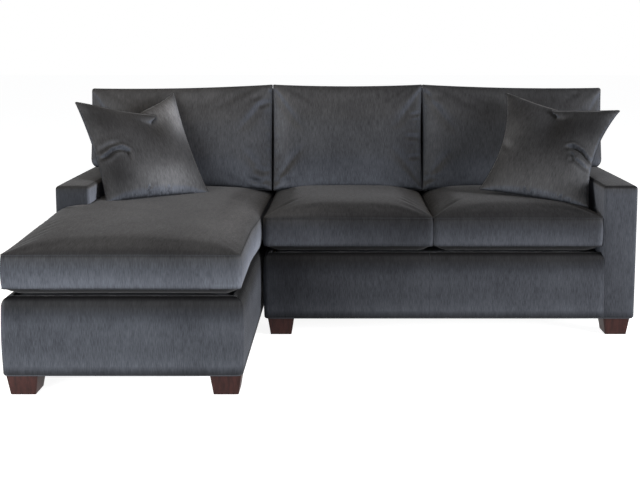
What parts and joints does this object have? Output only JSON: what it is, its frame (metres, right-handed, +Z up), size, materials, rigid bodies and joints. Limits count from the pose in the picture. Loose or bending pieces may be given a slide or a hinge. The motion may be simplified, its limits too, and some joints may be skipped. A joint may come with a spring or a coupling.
{
  "type": "sectional sofa",
  "caption": "Low sectional sofa in dark velvet: a chaise section joined to a loveseat section, with boxed seat cushions, loose back cushions, throw pillows and tapered block feet.",
  "frame": {"origin": "middle of the rectangle round the whole sofa on the floor, between the outsides of the arms and between the chaise's front and the outside back", "axes": "+Z up, +X to the right as seen from the front, along the sofa's length, and -Y out of the front, the way a sitter faces"},
  "size_m": [2.336, 1.665, 0.9852],
  "materials": {
    "velvet": "dark grey cut velvet with a short nap",
    "deck_cloth": "plain dark woven deck cloth",
    "bottom_cloth": "thin black non-woven cloth",
    "padding": "pressed felt and foam",
    "filling": "foam wrapped in fibre",
    "webbing": "woven elastic webbing",
    "frame_timber": "sawn hardwood",
    "stained_wood": "dark espresso stain with a satin lacquer",
    "spring_steel": "black coated spring wire",
    "bolt_steel": "zinc plated",
    "connector_steel": "black powder coat",
    "glide": "moulded nylon"
  },
  "bodies": {
    "chaise_section": {"chaise_base_rails": "frame_timber", "chaise_stretchers": "frame_timber", "chaise_corner_blocks": "frame_timber", "chaise_arm_frame": "frame_timber", "chaise_back_frame": "frame_timber", "chaise_seat_springs": "spring_steel", "chaise_spring_clips": "spring_steel", "chaise_back_webbing": "webbing", "chaise_deck_pad": "padding", "chaise_deck_cover": "deck_cloth", "chaise_base_cover": "velvet", "chaise_arm_cover": "velvet", "chaise_back_cover": "velvet", "chaise_bottom_welt": "velvet", "chaise_dust_cover": "bottom_cloth", "chaise_foot_bolts": "bolt_steel", "chaise_foot_glides": "glide", "chaise_foot_front_left": "stained_wood", "chaise_foot_front_right": "stained_wood", "chaise_foot_rear_left": "stained_wood", "chaise_foot_rear_right": "stained_wood", "chaise_connector": "connector_steel"},
    "loveseat_section": {"loveseat_base_rails": "frame_timber", "loveseat_stretchers": "frame_timber", "loveseat_corner_blocks": "frame_timber", "loveseat_arm_frame": "frame_timber", "loveseat_back_frame": "frame_timber", "loveseat_seat_springs": "spring_steel", "loveseat_spring_clips": "spring_steel", "loveseat_back_webbing": "webbing", "loveseat_deck_pad": "padding", "loveseat_deck_cover": "deck_cloth", "loveseat_base_cover": "velvet", "loveseat_arm_cover": "velvet", "loveseat_back_cover": "velvet", "loveseat_bottom_welt": "velvet", "loveseat_dust_cover": "bottom_cloth", "loveseat_foot_bolts": "bolt_steel", "loveseat_foot_glides": "glide", "loveseat_foot_front_left": "stained_wood", "loveseat_foot_front_right": "stained_wood", "loveseat_foot_rear_left": "stained_wood", "loveseat_foot_rear_right": "stained_wood", "loveseat_connector": "connector_steel"},
    "chaise_seat": {"chaise_seat_cover": "velvet", "chaise_seat_core": "filling"},
    "centre_seat": {"centre_seat_cover": "velvet", "centre_seat_core": "filling"},
    "right_seat": {"right_seat_cover": "velvet", "right_seat_core": "filling"},
    "left_back": {"left_back_cover": "velvet", "left_back_core": "filling"},
    "centre_back": {"centre_back_cover": "velvet", "centre_back_core": "filling"},
    "right_back": {"right_back_cover": "velvet", "right_back_core": "filling"},
    "left_pillow": {"left_pillow_cover": "velvet", "left_pillow_core": "filling"},
    "right_pillow": {"right_pillow_cover": "velvet", "right_pillow_core": "filling"}
  },
  "joints": [
    {"name": "loveseat_lift", "type": "slide", "parent": "chaise_section", "child": "loveseat_section", "axis": [0, 0, 1], "range_m": [0, 0.08]},
    {"name": "chaise_seat_pull", "type": "slide", "parent": "chaise_section", "child": "chaise_seat", "axis": [0, -1, 0], "range_m": [0, 0.15]},
    {"name": "centre_seat_pull", "type": "slide", "parent": "loveseat_section", "child": "centre_seat", "axis": [0, -1, 0], "range_m": [0, 0.15]},
    {"name": "right_seat_pull", "type": "slide", "parent": "loveseat_section", "child": "right_seat", "axis": [0, -1, 0], "range_m": [0, 0.15]},
    {"name": "left_back_lift", "type": "slide", "parent": "chaise_section", "child": "left_back", "axis": [0, 0.1253, 0.9921], "range_m": [0, 0.15]},
    {"name": "centre_back_lift", "type": "slide", "parent": "loveseat_section", "child": "centre_back", "axis": [0, 0.1253, 0.9921], "range_m": [0, 0.15]},
    {"name": "right_back_lift", "type": "slide", "parent": "loveseat_section", "child": "right_back", "axis": [0, 0.1253, 0.9921], "range_m": [0, 0.15]},
    {"name": "left_pillow_lift", "type": "slide", "parent": "chaise_seat", "child": "left_pillow", "axis": [0, 0, 1], "range_m": [0, 0.2]},
    {"name": "right_pillow_lift", "type": "slide", "parent": "right_seat", "child": "right_pillow", "axis": [0, 0, 1], "range_m": [0, 0.2]}
  ]
}
